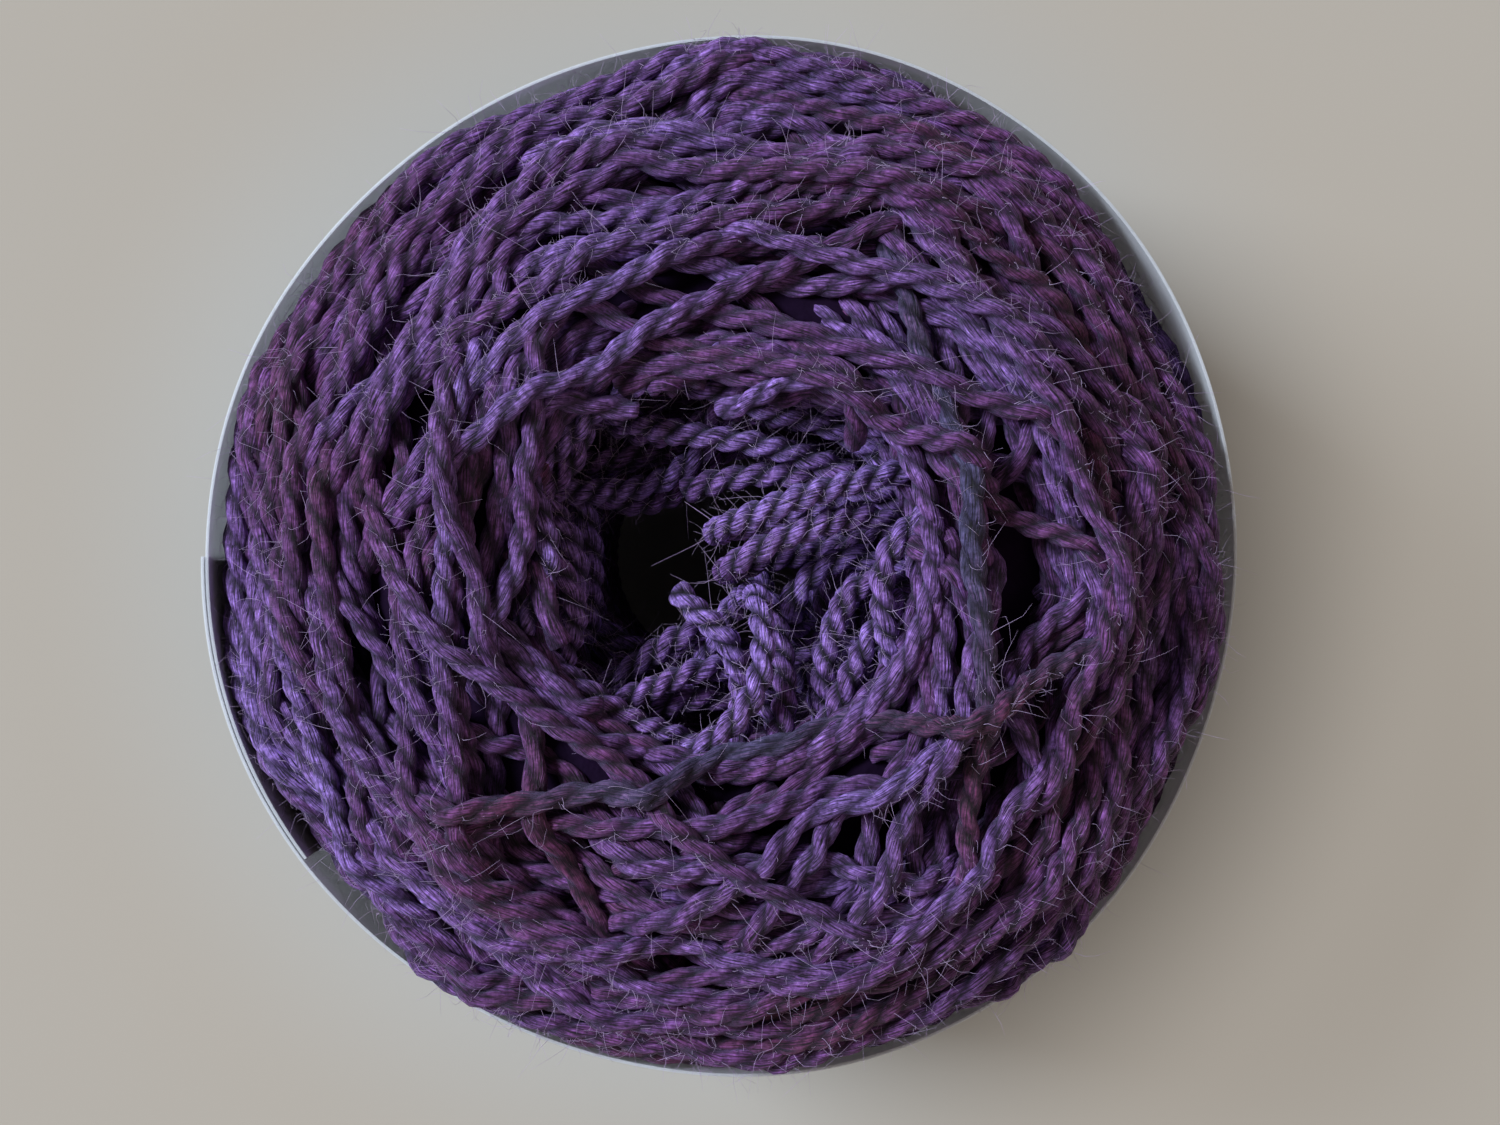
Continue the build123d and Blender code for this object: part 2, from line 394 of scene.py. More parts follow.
def turn_plan(rng):
    """Tilt and azimuth of every turn in the order of winding: steep turns, then mixed ones, then
    the turns over the crown, then ever flatter ones. Neighbours lie nearly parallel."""
    steep = drifting(STEEP_TURNS, 45, 61.5, 9.0, rng) + rng.normal(0, 1, STEEP_TURNS)
    steep = np.radians(steep)
    steep_at = np.cumsum(np.radians(rng.normal(14, 5, STEEP_TURNS)))
    mixed = drifting(MIXED_TURNS, 26, 58, 11.0, rng) + rng.normal(0, 2, MIXED_TURNS)
    mixed = np.radians(mixed)
    mixed_at = steep_at[-1] + np.cumsum(np.radians(rng.normal(17, 6, MIXED_TURNS)))
    crown_at, crown_distance = np.array(CROWN_TURNS).T
    crown_at = np.radians(crown_at)
    leaning = LEAN[0] * np.cos(crown_at) + LEAN[1] * np.sin(crown_at)
    crown = tilt_passing(crown_distance - leaning)
    crown_at = np.unwrap(crown_at) + TURN * round((mixed_at[-1] - crown_at[0]) / TURN)
    low = np.radians(np.linspace(46, 9, LOW_TURNS) + rng.normal(0, 2, LOW_TURNS))
    low_at = crown_at[-1] + np.cumsum(np.radians(rng.normal(33, 9, LOW_TURNS)))
    tilts = np.concatenate([steep, mixed, crown, low])
    return tilts, np.concatenate([steep_at, mixed_at, crown_at, low_at])


def turn_directions(tilts, azimuths, rng):
    """Unit vectors along the winding. A turn is a great circle tilted by its tilt, highest at its
    azimuth a quarter of the way round; tilt and azimuth ease to the next turn's, and a slow
    waver moves the strand sideways by a fraction of a millimetre."""
    turns = len(tilts)
    phase = np.arange(turns * SAMPLES) / SAMPLES
    keys = np.arange(turns) + 0.25
    tilt = np.interp(phase, keys, tilts)
    azimuth = np.interp(phase, keys, azimuths)
    swing = phase * TURN
    zero = np.zeros_like(azimuth)
    flat = np.stack([np.sin(azimuth), -np.cos(azimuth), zero], axis=1)
    up = round_axis(np.cos(tilt), azimuth, np.sin(tilt))
    path = flat * np.cos(swing)[:, None] + up * np.sin(swing)[:, None]
    waver = smooth_noise(phase * TURN * BALL_RADIUS, (83.0, 61.0, 37.0), rng)
    return unit(path + np.cross(flat, up) * (waver * 0.3 / BALL_RADIUS)[:, None])


def turn_heights(directions):
    """Height of each point over a bare core: where it passes within a strand of an earlier turn it
    lies on it, by the circle's rise; then each point is lifted to the mean of its neighbours a
    few times over, as the pull of the strand does."""
    paths = directions.reshape(-1, SAMPLES, 3).astype(np.float32)
    heights = np.zeros(paths.shape[:2])
    near = 1 - (CROSSING / BALL_RADIUS) ** 2 / 2
    for turn in range(1, len(paths)):
        earlier = paths[:turn].reshape(-1, 3)
        dots = paths[turn] @ earlier.T
        dots[:8, -8:] = 0
        row, column = np.nonzero(dots > near)
        aside = 2 * (1 - dots[row, column]) * BALL_RADIUS ** 2
        lifted = heights[:turn].ravel()[column] + np.sqrt(np.maximum(CROSSING ** 2 - aside, 0))
        height = np.zeros(SAMPLES)
        np.maximum.at(height, row, lifted)
        for _ in range(PULLS):
            padded = np.concatenate([[heights[turn - 1, -1]], height, [height[-1]]])
            height = np.maximum(height, (padded[:-2] + padded[2:]) / 2)
        heights[turn] = height
    return heights.ravel()


def spread_directions(count):
    """Directions spread evenly over a sphere, turning by the golden angle from pole to pole."""
    level = 1 - 2 * (np.arange(count) + 0.5) / count
    angle = np.arange(count) * math.pi * (3 - math.sqrt(5))
    flat = np.sqrt(1 - level ** 2)
    return round_axis(flat, angle, level)


def depth_below_top(directions, heights):
    """How far each point lies under the top of the windings round it. The top is the highest point
    within a few millimetres of evenly spread probes, averaged between probes by a Gaussian."""
    probes = spread_directions(1600).astype(np.float32)
    paths = directions.astype(np.float32)
    tops = np.zeros(len(probes))
    reach_cos = math.cos(3.2 / BALL_RADIUS)
    for first in range(0, len(probes), 200):
        dots = probes[first:first + 200] @ paths.T
        tops[first:first + 200] = np.where(dots > reach_cos, heights[None], 0).max(axis=1)
    top = np.zeros(len(paths))
    sharpness = (BALL_RADIUS / 3.5) ** 2
    for first in range(0, len(paths), 4000):
        dots = paths[first:first + 4000] @ probes.T
        weights = np.exp(sharpness * (dots - 1))
        top[first:first + 4000] = weights @ tops / weights.sum(axis=1)
    return top - heights


def between(values):
    """Twice as many points: the middle of each step is found from the four points round it,
    nine sixteenths of each near one less one sixteenth of each far one."""
    ends = np.concatenate([values[:1], values, values[-1:]])
    middle = (9 * (ends[1:-2] + ends[2:-1]) - (ends[:-3] + ends[3:])) / 16
    doubled = np.empty((2 * len(values) - 1,) + values.shape[1:])
    doubled[::2] = values
    doubled[1::2] = middle
    return doubled


def wound_strands(yarn):
    """The wound strand, cut into one entry per turn, as twisted() gives it."""
    rng = np.random.default_rng(11)
    tilts, azimuths = turn_plan(rng)
    directions = turn_directions(tilts, azimuths, rng)
    heights = turn_heights(directions)
    depth = depth_below_top(directions, heights)
    girth = (yarn.ply_radius + yarn.ply_offset) / MM
    flattened = 0.85 - 0.35 * np.exp(-(directions[:, 2] / 0.42) ** 4)
    line = directions * (reach(directions) - girth - depth * flattened)[:, None]
    line[:, 2] += EQUATOR
    leaning = np.clip((line[:, 2] - EQUATOR - 12) / 12, 0, 1)
    line[:, :2] += LEAN * (leaning ** 2 * (3 - 2 * leaning))[:, None]
    line = settle(line, girth)
    line = between(line)
    depth = between(depth)
    outward = unit(between(directions))
    arc = arc_length(line)
    dye = smooth_noise(arc, (310.0, 173.0, 97.0, 41.0), rng)
    pitch = yarn.taut_pitch / MM * (1 + 0.16 * smooth_noise(arc, (131.0, 47.0), rng))
    size = 1 + 0.07 * smooth_noise(arc, (71.0, 29.0, 12.0), rng)
    phase = np.arange(len(line)) / (2 * SAMPLES)
    first = len(tilts) - LOW_TURNS - len(CROWN_TURNS)
    for turn in GREY_TURNS:
        dye = dye - 5.5 * np.exp(-((phase - (first + turn + 0.27)) / 0.12) ** 4)
    level = np.hypot(line[:, 0], line[:, 1])
    keep = (depth < KEPT_DEPTH) & (level > BORE_RADIUS - 0.5)
    section = ply_section((-58, -22, 22, 58), yarn.ply_radius / MM, yarn.ply_offset / MM)
    whole = twisted(line, outward, pitch, section, size, dye, keep)
    cuts = np.arange(0, len(line) - 1, 2 * SAMPLES)
    strands = [{key: value[cut:cut + 2 * SAMPLES + 1] for key, value in whole.items()}
               for cut in cuts]
    return strands, line, outward, depth


# ---- first turns: the wall of the hole and the slumped loops --------------------------------


WALL_TURNS, WALL_SAMPLES = 52, 120      # turns round the hole, and points in each


def wall_radius(height):
    """Radius of the hole: the bore, then a cone, then the crater, opening at its lip."""
    straight = np.interp(height, [BORE_LENGTH, CRATER_FLOOR], [BORE_RADIUS, CRATER_RADIUS])
    lip = np.clip((height - 52) / 3, 0, 1)
    return straight + 1.6 * lip ** 2


def wall_strands(yarn):
    """Turns round the hole's wall: one long coil whose height swings up and down once a turn."""
    rng = np.random.default_rng(23)
    phase = np.arange(0, WALL_TURNS, 1 / WALL_SAMPLES)
    keys = np.arange(WALL_TURNS + 1)
    count = len(keys)
    middle, swing, lean, inset = (np.interp(phase, keys, values) for values in (
        np.linspace(1.5, 51.5, count) + rng.normal(0, 1.0, count),
        rng.uniform(1.2, 4.2, count),
        np.cumsum(rng.normal(0.5, 0.5, count)),
        rng.uniform(-0.9, 0.5, count)))
    angle = phase * TURN
    height = np.clip(middle + swing * np.sin(angle - lean), 0.9, 53.5)
    radius = wall_radius(height) + 0.75 - inset
    line = round_axis(radius, angle, height)
    inward = -round_axis(1.0, angle, 0.0)
    arc = arc_length(line)
    pitch = np.full(len(line), (yarn.taut_pitch + yarn.slack_pitch) / 2 / MM)
    size = 1 + 0.06 * smooth_noise(arc, (53.0, 17.0), rng)
    dye = smooth_noise(arc, (210.0, 83.0), rng)
    section = ply_section((-50, 0, 50), yarn.ply_radius / MM, yarn.ply_offset / MM)
    keep = np.ones(len(line), bool)
    return twisted(line, inward, pitch, section, size, dye, keep), line, inward


# Routes of the slumped first turns, wall to wall, in millimetres.
LOOPS = {
    "top_loops": [
        [(-8.5, 10.5, 42.5), (-5.5, 8.5, 45), (-2, 7.9, 46.5), (2.3, 7.4, 46.6), (6.5, 6.3, 46),
         (10, 4.2, 45), (13, 2.9, 43.6)],
        [(-4.5, 12.6, 47), (-1.2, 10.3, 48.3), (3.2, 10.7, 49), (7.4, 10.1, 48.9),
         (10.9, 7.9, 48)],
        [(-3.2, 13, 44.5), (0.8, 9.9, 46.6), (5, 9.2, 47), (9.2, 7.6, 46.8), (12.4, 4.9, 45.9)],
        [(-2.4, 4.4, 42.2), (0.4, 5.2, 43.6), (3.6, 5.5, 44.4), (7, 5.2, 44.6), (11.4, 3.4, 43.8)],
        [(0.6, 10, 42.4), (3.4, 9.1, 44.2), (5.9, 9.1, 44.8), (7.9, 8.4, 44.4), (10.6, 6.6, 42.8)],
        [(-8.2, 9.4, 41), (-4.6, 7.6, 43), (-1, 8.6, 44.6), (2.4, 11.6, 44.8)],
    ],
    "upper_left_loops": [
        [(-12, 5.8, 46), (-8.9, 8.6, 47.5), (-6.7, 10.9, 49.3), (-2.5, 11.7, 50.8),
         (0.8, 13.4, 51)],
        [(-12.9, 3.4, 43.5), (-9.9, 5.6, 44.5), (-8.9, 8.4, 45), (-9.2, 9.9, 44.4)],
    ],
    "deep_loop": [
        [(2.5, 13.1, 41.6), (-0.8, 7, 42.6), (-4.3, 4.6, 41.9), (-8.4, 4.2, 41.2),
         (-12.6, 4.4, 41.4)],
        [(2.4, 9.4, 39.6), (-1.3, 5.9, 40.6), (-3.4, 3.9, 40.4), (-6.4, 3.2, 39.8),
         (-9.6, 4.8, 39.4)],
    ],
    "hole_edge": [
        [(-12, 6, 39), (-8.6, 6.4, 39.6), (-4, 7.2, 39.4), (1, 7.6, 39.8), (6.4, 7, 39.4),
         (9.6, 5.4, 38.4)],
        [(-9.6, 5.2, 36.4), (-6.2, 6.9, 37.2), (0, 7.9, 37.4), (5.4, 7, 36.8), (9, 4, 35.8)],
        [(10.6, 4.6, 39), (6.8, 4.8, 39.8), (3.2, 3.2, 39.9), (2, -0.2, 39.8), (3, -3.4, 40),
         (6.6, -5.4, 39.6), (10.4, -5.6, 38.4)],
        [(9.8, 2, 36.6), (6.9, 1.4, 37.4), (6.2, -2.4, 37.6), (7, -6.2, 36.4), (5, -9, 35.4)],
        [(8.6, -7.2, 38), (5.2, -6.6, 39.9), (1, -6.4, 40.2), (-3, -6.8, 39.9),
         (-7.6, -7.6, 38.6)],
        [(3.6, -9.2, 36.4), (-0.6, -7.4, 37.4), (-5.4, -7, 37.2), (-8.8, -4.6, 36)],
        [(-9.2, -5.6, 39.2), (-8.7, -2.6, 40), (-8.8, 1, 39.8), (-9.6, 4.4, 38.8)],
    ],
    "right_pair_loops": [
        [(12.2, 5.6, 48.9), (8.1, 4.7, 50.2), (3, 3.1, 50.6), (0, 1.8, 49.4), (-0.9, 1.3, 46),
         (1.5, 2, 43.4), (7, 3.6, 42.8), (11.9, 6, 42.4)],
        [(13.3, 1.2, 46), (10.2, 2.9, 47.6), (6.4, 2.2, 49.4), (2.4, 0.5, 49.9), (0.4, -0.8, 48.6),
         (-0.1, -1.2, 45), (2, -0.4, 42.6), (7.5, 0.6, 42), (12.9, 1.4, 41.6)],
    ],
    "right_loops": [
        [(13.2, -1.6, 44.2), (9.4, 0.4, 45.6), (6.2, -0.6, 46.3), (4.2, -3.2, 45.6),
         (4.6, -5.2, 43), (8, -6, 41.5), (11.6, -6.4, 41.6)],
        [(13.1, 2.6, 50), (10, 0.2, 50.3), (10.4, -3.8, 50.4), (11, -7.4, 50)],
        [(13, -2.4, 47.4), (8.9, -1, 48.2), (7.2, -4.2, 49), (6.4, -8.2, 48.2), (7.2, -11.3, 46)],
        [(12.3, -5.2, 47), (9.6, -6.6, 48), (9, -9.8, 47.4)],
        [(12, 2, 44.4), (8.8, 1.2, 43.8), (7, -1.6, 43.6), (6.6, -4.2, 42.2), (9.6, -8.2, 41)],
        [(9.8, -0.6, 44.6), (7.6, -3.4, 46), (6, -8.4, 46.2), (7, -11.8, 44.6)],
        [(11.6, -4.2, 44.4), (9.6, -6, 45.6), (8.4, -10.8, 45.4)],
        [(6, -12.6, 48.6), (7.6, -9.2, 49.6), (9.4, -5, 49.8), (11.8, -2.6, 49)],
    ],
    "bottom_loops": [
        [(-2.6, -13.1, 49.9), (0.9, -10.9, 51), (2.9, -7.6, 51.2), (2.6, -3.6, 50),
         (2.3, -1.8, 46.8), (0.6, -3.4, 43.4), (-2.2, -8.2, 42), (-5.2, -12.3, 42.4)],
        [(-9, -9.9, 44.8), (-5.6, -9.2, 46.4), (-2.4, -7.6, 46.6), (0, -7, 45), (2.6, -8.8, 42.8),
         (4.4, -12.5, 42.6)],
        [(-11.7, -6.4, 47.6), (-8.9, -8.4, 48.8), (-5.8, -10.6, 49.2), (-2.6, -11.6, 48.2),
         (0.4, -13.3, 47)],
        [(3.4, -3.6, 44.6), (4.2, -6.9, 47.4), (4.2, -11, 49), (2.8, -13.2, 49.6)],
        [(4, -13.6, 46.4), (1.2, -14, 47.8), (-1.6, -13.6, 48.2), (-4.4, -12.8, 47.6)],
        [(-7.8, -8.6, 42.6), (-5.3, -7, 43.8), (-2.4, -4.9, 44.2), (-0.4, -4.6, 42)],
        [(-6.4, -10.8, 43.4), (-3.4, -9.6, 44.6), (-0.4, -9, 44), (2, -10.6, 41.6)],
        [(-12.2, -5.4, 45.2), (-10.3, -8.4, 46.6), (-8, -10.9, 47.2), (-4.9, -12.4, 46.2)],
    ],
    "left_loops": [
        [(-12.4, 4.9, 49.2), (-11, 1.8, 50.2), (-10.8, -1.6, 50.2), (-12.6, -4.6, 49.4)],
        [(-13.2, 1.4, 46.2), (-10.2, -0.6, 47.2), (-9, -4, 46.4), (-10.8, -7.9, 44.2)],
        [(-12, 4, 43), (-9.8, 1.4, 44.2), (-9.2, -2.2, 43.6), (-11, -5.6, 42)],
    ],
    "pull_end": [
        [(-2.8, -2.2, 48.2), (-1.4, -3.7, 49), (0.6, -5.2, 48.6), (1.6, -8.4, 46.8),
         (1, -13.2, 44.8)],
    ],
}


LOOP_STEP = 0.3                 # between the rings of a loop


def spline(route, step):
    """Points a step apart on the cubic B-spline of a route, which starts and ends at the route's
    ends: each is (1-t)^3, 3t^3-6t^2+4, -3t^3+3t^2+3t+1 and t^3 sixths of four points in a row."""
    control = np.array(route, float)
    control = np.concatenate([[2 * control[0] - control[1]], control,
                              [2 * control[-1] - control[-2]]])
    t = np.linspace(0, 1, 40, endpoint=False)[:, None]
    weights = [(1 - t) ** 3, 3 * t ** 3 - 6 * t ** 2 + 4,
               -3 * t ** 3 + 3 * t ** 2 + 3 * t + 1, t ** 3]
    fine = np.concatenate([sum(w * control[i + n] for n, w in enumerate(weights)) / 6
                           for i in range(len(control) - 3)] + [[route[-1]]])
    length = arc_length(fine)
    even = np.linspace(0, length[-1], max(int(length[-1] / step), 4))
    return np.stack([np.interp(even, length, fine[:, axis]) for axis in range(3)], axis=1)


def steady_side(line):
    """The direction, out of many, that a line is never close to parallel to."""
    along = unit(np.gradient(line, axis=0))
    choices = spread_directions(200)
    return choices[np.abs(along @ choices.T).max(axis=0).argmin()]


def loop_strand(route, yarn, rng):
    """One slumped loop as twisted() gives it: slack, so thicker and more tightly twisted. Its dye
    value is set high, which paints light on it: a lighter, bluer colour.
    """
    line = spline(route, LOOP_STEP)
    outward = np.broadcast_to(steady_side(line), line.shape)
    arc = np.arange(len(line)) * LOOP_STEP
    pitch = yarn.slack_pitch / MM * (1 + 0.12 * smooth_noise(arc, (19.0, 8.0), rng))
    size = 1.08 + 0.05 * smooth_noise(arc, (13.0, 6.0), rng)
    # painted light: a high dye value makes the loop lighter and bluer, as if more light reached it
    dye = rng.uniform(1.0, 3.2) + 0.4 * smooth_noise(arc, (29.0, 11.0), rng)
    section = ply_section((-66, -35, 0, 35, 66), yarn.ply_radius / MM, yarn.ply_offset / MM)
    keep = np.ones(len(line), bool)
    return twisted(line, outward, pitch, section, size, dye, keep, depth=1.0), line


# ---- fine hairs -----------------------------------------------------------------------------

HAIR_RADIUS = 0.016
HAIR_POINTS, HAIR_SIDES = 5, 3          # rings along a hair, and points in a ring
HAIRS_EACH = 7500                       # hairs in one object
WALL_HAIRS, WALL_HAIRS_ABOVE = 900, 36  # hairs on the hole's wall, from this height up
LOOP_HAIRS = 2.2                        # hairs on a loop for each of its rings


def hair_tubes(roots, directions, lengths, rng):
    """Closed three-sided tubes. A hair leaves along its direction, bends off by the square of the
    way along it, and curls by a sine; it thins towards its tip."""
    count = len(roots)
    t = np.linspace(0, 1, HAIR_POINTS)[None, :, None]
    bend = unit(rng.normal(size=(count, 3)))[:, None]
    curl = unit(rng.normal(size=(count, 3)))[:, None]
    phase = rng.uniform(0, TURN, (count, 1, 1))
    waves = rng.uniform(0.4, 0.8, (count, 1, 1))
    shape = directions[:, None] * t + bend * t ** 2
    shape = shape + curl * 0.50 * (np.sin(TURN * waves * t + phase) - np.sin(phase)) * t
    lines = roots[:, None] + shape * lengths[:, None, None]
    lines[..., 2] = np.maximum(lines[..., 2], 0.1 + 0.1 * t[..., 0])
    level = np.hypot(lines[..., 0], lines[..., 1])
    most = BAND_INSIDE - 0.1 + out_of_round(np.arctan2(lines[..., 1], lines[..., 0]))
    under_band = np.abs(lines[..., 2] - EQUATOR) < BAND_HALF + 0.3
    lines[..., :2] *= np.where(under_band, np.minimum(level, most) / level, 1)[..., None]
    along = unit(np.gradient(lines, axis=1))
    side = unit(np.cross(along, bend + 0.3 * curl))
    over = np.cross(side, along)
    angle = np.arange(HAIR_SIDES) * TURN / HAIR_SIDES
    ring = np.cos(angle)[:, None] * side[:, :, None] + np.sin(angle)[:, None] * over[:, :, None]
    points = lines[:, :, None] + ring * HAIR_RADIUS * (1 - 0.65 * t)[..., None]
    quads = tube_quads(HAIR_POINTS, HAIR_SIDES)[:, [0, 3, 2, 1]]
    size = HAIR_POINTS * HAIR_SIDES
    ends = np.array([[0, 1, 2], [size - 1, size - 2, size - 3]])
    base = np.arange(count)[:, None, None] * size
    return points.reshape(-1, 3), (base + quads).reshape(-1, 4), (base + ends).reshape(-1, 3)


def hair_pieces(name, roots, outward, rng, longest=1.9):
    """Hairs that start on strand surfaces, as objects of HAIRS_EACH hairs; most are short."""
    lean = unit(0.55 * outward + 0.8 * rng.normal(size=roots.shape))
    lengths = 0.35 + (longest - 0.35) * rng.uniform(size=len(roots)) ** 2.0
    for number, first in enumerate(range(0, len(roots), HAIRS_EACH)):
        part = slice(first, first + HAIRS_EACH)
        points, quads, triangles = hair_tubes(roots[part], lean[part], lengths[part], rng)
        new_piece(f"{name}_{number + 1}", points, quads, bpy.data.materials["stray_fibres"],
                  "ball", triangles=triangles)


# ---- materials ------------------------------------------------------------------------------


class Sock:
    """An output socket in an expression: an operator on it adds a Math node."""

    def __init__(self, tree, socket):
        self.tree, self.socket = tree, socket

    def _math(self, operation, first, second=0.0):
        return self.tree.node("ShaderNodeMath", {"operation": operation}, [first, second])

    def __add__(self, other):
        return self._math("ADD", self, other)

    def __sub__(self, other):
        return self._math("SUBTRACT", self, other)

    def __rsub__(self, other):
        return self._math("SUBTRACT", other, self)

    def __mul__(self, other):
        return self._math("MULTIPLY", self, other)

    def at_least(self, other):
        return self._math("MAXIMUM", self, other)

    __radd__ = __add__
    __rmul__ = __mul__


class Tree:
    """The node tree of a new material."""

    def __init__(self, name="", world=None):
        self.material = world or bpy.data.materials.new(name)
        self.material.use_nodes = True
        self.nodes, self.links = self.material.node_tree.nodes, self.material.node_tree.links
        self.nodes.clear()

    def node(self, kind, options=None, inputs=None, output=0):
        """Adds a node. Options are set first; a "stops" option fills a colour ramp. Inputs are
        values or sockets, listed in order or by name."""
        node = self.nodes.new(kind)
        for key, value in (options or {}).items():
            if key == "stops":
                ramp = node.color_ramp.elements
                while len(ramp) < len(value):
                    ramp.new(0.5)
                for element, (place, colour) in zip(ramp, value):
                    element.position, element.color = place, (*colour, 1)
            else:
                setattr(node, key, value)
        pairs = inputs.items() if isinstance(inputs, dict) else enumerate(inputs or [])
        for key, value in pairs:
            if isinstance(value, Sock):
                self.links.new(value.socket, node.inputs[key])
            elif value is not None:
                node.inputs[key].default_value = value
        return Sock(self, node.outputs[output])

    def finish(self, shader, kind="ShaderNodeOutputMaterial"):
        """Links the shader to the output and returns the material."""
        out = self.nodes.new(kind)
        self.links.new(shader.socket, out.inputs["Surface"])
        return self.material


def rgba(colour):
    return (*colour, 1.0)


def noise(tree, place, scale, detail=2.0, roughness=0.5, dimensions="3D"):
    """A noise texture's value, from 0 to 1."""
    return tree.node("ShaderNodeTexNoise", {"noise_dimensions": dimensions},
                     {"Vector": place, "Scale": scale, "Detail": detail,
                      "Roughness": roughness}, "Fac")


def mixed(tree, factor, first, second, blend="MIX"):
    """A colour that goes from the first to the second as the factor goes from 0 to 1."""
    return tree.node("ShaderNodeMix", {"data_type": "RGBA", "blend_type": blend},
                     {"Factor": factor, "A": first, "B": second}, 2)


def shaded(tree, colour, light):
    """A colour times a brightness."""
    grey = tree.node("ShaderNodeCombineXYZ", None, [light, light, light])
    return mixed(tree, 1.0, colour, grey, "MULTIPLY")


def bumped(tree, height, strength, distance):
    """A normal that follows a height."""
    return tree.node("ShaderNodeBump", None,
                     {"Strength": strength, "Distance": distance, "Height": height})


def surface(tree, **inputs):
    """Finishes a material with the principled shader. An input's spaces are written as _."""
    named = {name.replace("_", " "): value for name, value in inputs.items()}
    return tree.finish(tree.node("ShaderNodeBsdfPrincipled", None, named))


def seen_directly(tree):
    """1 for what the eye sees straight on, in a gloss or through glass, 0 for light on a
    surface."""
    eye, gloss, glass = [tree.node("ShaderNodeLightPath", output=kind) for kind in
                         ("Is Camera Ray", "Is Glossy Ray", "Is Transmission Ray")]
    return eye.at_least(gloss).at_least(glass)


def yarn_material(yarn):
    """Dyed two-ply wool. Its tone is a weighted sum of dye, patch and fibre, and a ramp turns it
    into a colour. Its brightness is the product of what fibre, groove, dye and fuzz leave, each
    a straight line about 1; the groove factor is painted shade in the crease between the plies.
    Dye drifts along the strand and is low in a grey stretch; on the slumped loops it is set high,
    which is painted light that makes them lighter and bluer. Fibre runs as streaks along the
    strand, which the bump follows."""
    tree = Tree("plied_wool")
    dye, groove = (tree.node("ShaderNodeAttribute", {"attribute_name": name}, output="Fac")
                   for name in ("dye", "groove"))
    place = tree.node("ShaderNodeTexCoord", output="Object")
    patch = noise(tree, place, 60.0)
    fuzz = noise(tree, place, 2400.0, 3.0, 0.6)
    along = tree.node("ShaderNodeUVMap", {"uv_map": "along"})
    streaks = tree.node("ShaderNodeMapping", None, {"Vector": along, "Scale": (0.55, 44.0, 1.0)})
    fibre = noise(tree, streaks, 1.0, 3.0, 0.65, "2D")
    tone = dye * 0.07 + patch * 0.55 + fibre * 0.3 + 0.075
    hue = tree.node("ShaderNodeValToRGB", {"stops": [
        (0.12, yarn.slate), (0.33, yarn.wine), (0.50, yarn.plum), (0.70, yarn.violet)]}, [tone])
    streaked = fibre * 6.4 - 2.05
    # painted shade in the crease between the plies, from the groove attribute
    groove_shaded = 1 - groove * 1.0
    # the dye value also carries painted light: it is set high on the slumped loops to lighten them
    dye_and_loop_light_level = dye.at_least(-0.9) * 0.16 + 1.0
    fuzzy = fuzz * 3.6 - 0.75
    light = streaked * groove_shaded * dye_and_loop_light_level * fuzzy
    return surface(tree, Base_Color=shaded(tree, hue, light), Roughness=0.62,
                   Specular_IOR_Level=0.28, Sheen_Weight=0.16, Sheen_Roughness=0.4,
                   Sheen_Tint=(0.6, 0.5, 0.9, 1.0), Normal=bumped(tree, fibre, 0.75, 0.00025))


def hair_material(yarn):
    """Fine stray fibres, paler than the strand because light passes through them."""
    tree = Tree("stray_fibres")
    patch = noise(tree, tree.node("ShaderNodeTexCoord", output="Object"), 900.0)
    colour = mixed(tree, patch * 0.7 + 0.3, rgba(yarn.plum), rgba(yarn.hair_colour))
    return surface(tree, Base_Color=colour, Roughness=0.5, Sheen_Weight=0.3)


def core_painted_shade_material():
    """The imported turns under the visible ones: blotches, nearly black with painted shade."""
    tree = Tree("packed_turns_painted_shade")
    weave = noise(tree, tree.node("ShaderNodeTexCoord", output="Object"), 500.0, 3.0)
    # painted shade: near-black colours stand in for the shade deep between the turns
    colour = mixed(tree, weave, (0.004, 0.002, 0.006, 1.0), (0.018, 0.006, 0.026, 1.0))
    return surface(tree, Base_Color=colour, Roughness=0.9, Specular_IOR_Level=0.05,
                   Normal=bumped(tree, weave, 0.8, 0.0006))


def paper_material(band):
    """Uncoated paper: faint fibres and blotches, slightly rough, and light comes through."""
    tree = Tree("band_paper")
    place = tree.node("ShaderNodeTexCoord", output="Object")
    fibres = noise(tree, place, 1400.0, 4.0, 0.7)
    shade = noise(tree, place, 70.0, 3.0) * 0.16 + fibres * 0.22 + 0.80
    return surface(tree, Base_Color=shaded(tree, rgba(band.paper), shade), Roughness=0.8,
                   Specular_IOR_Level=0.3, Subsurface_Weight=0.7, Subsurface_Radius=(1, 1, 1),
                   Subsurface_Scale=0.001, Normal=bumped(tree, fibres, 0.35, 0.0001))


def paste_material(band):
    """Dried paste, a thin cloudy film."""
    tree = Tree("band_paste")
    cloud = noise(tree, tree.node("ShaderNodeTexCoord", output="Object"), 300.0)
    colour = mixed(tree, cloud, rgba(band.paste), (0.75, 0.72, 0.6, 1.0))
    return surface(tree, Base_Color=colour, Roughness=0.35)


# ---- pieces ---------------------------------------------------------------------------------

CORE_SIDES = 120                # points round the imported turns
BAND_STATIONS = 560             # sections along the paper strip
EDGE_POINTS = 15                # points up one face of a section
LAP_ENDS = (180, 576)           # azimuths of the outer and the inner cut end, degrees
LAP_RAMP = (216, 236)           # where the strip comes down from the lap


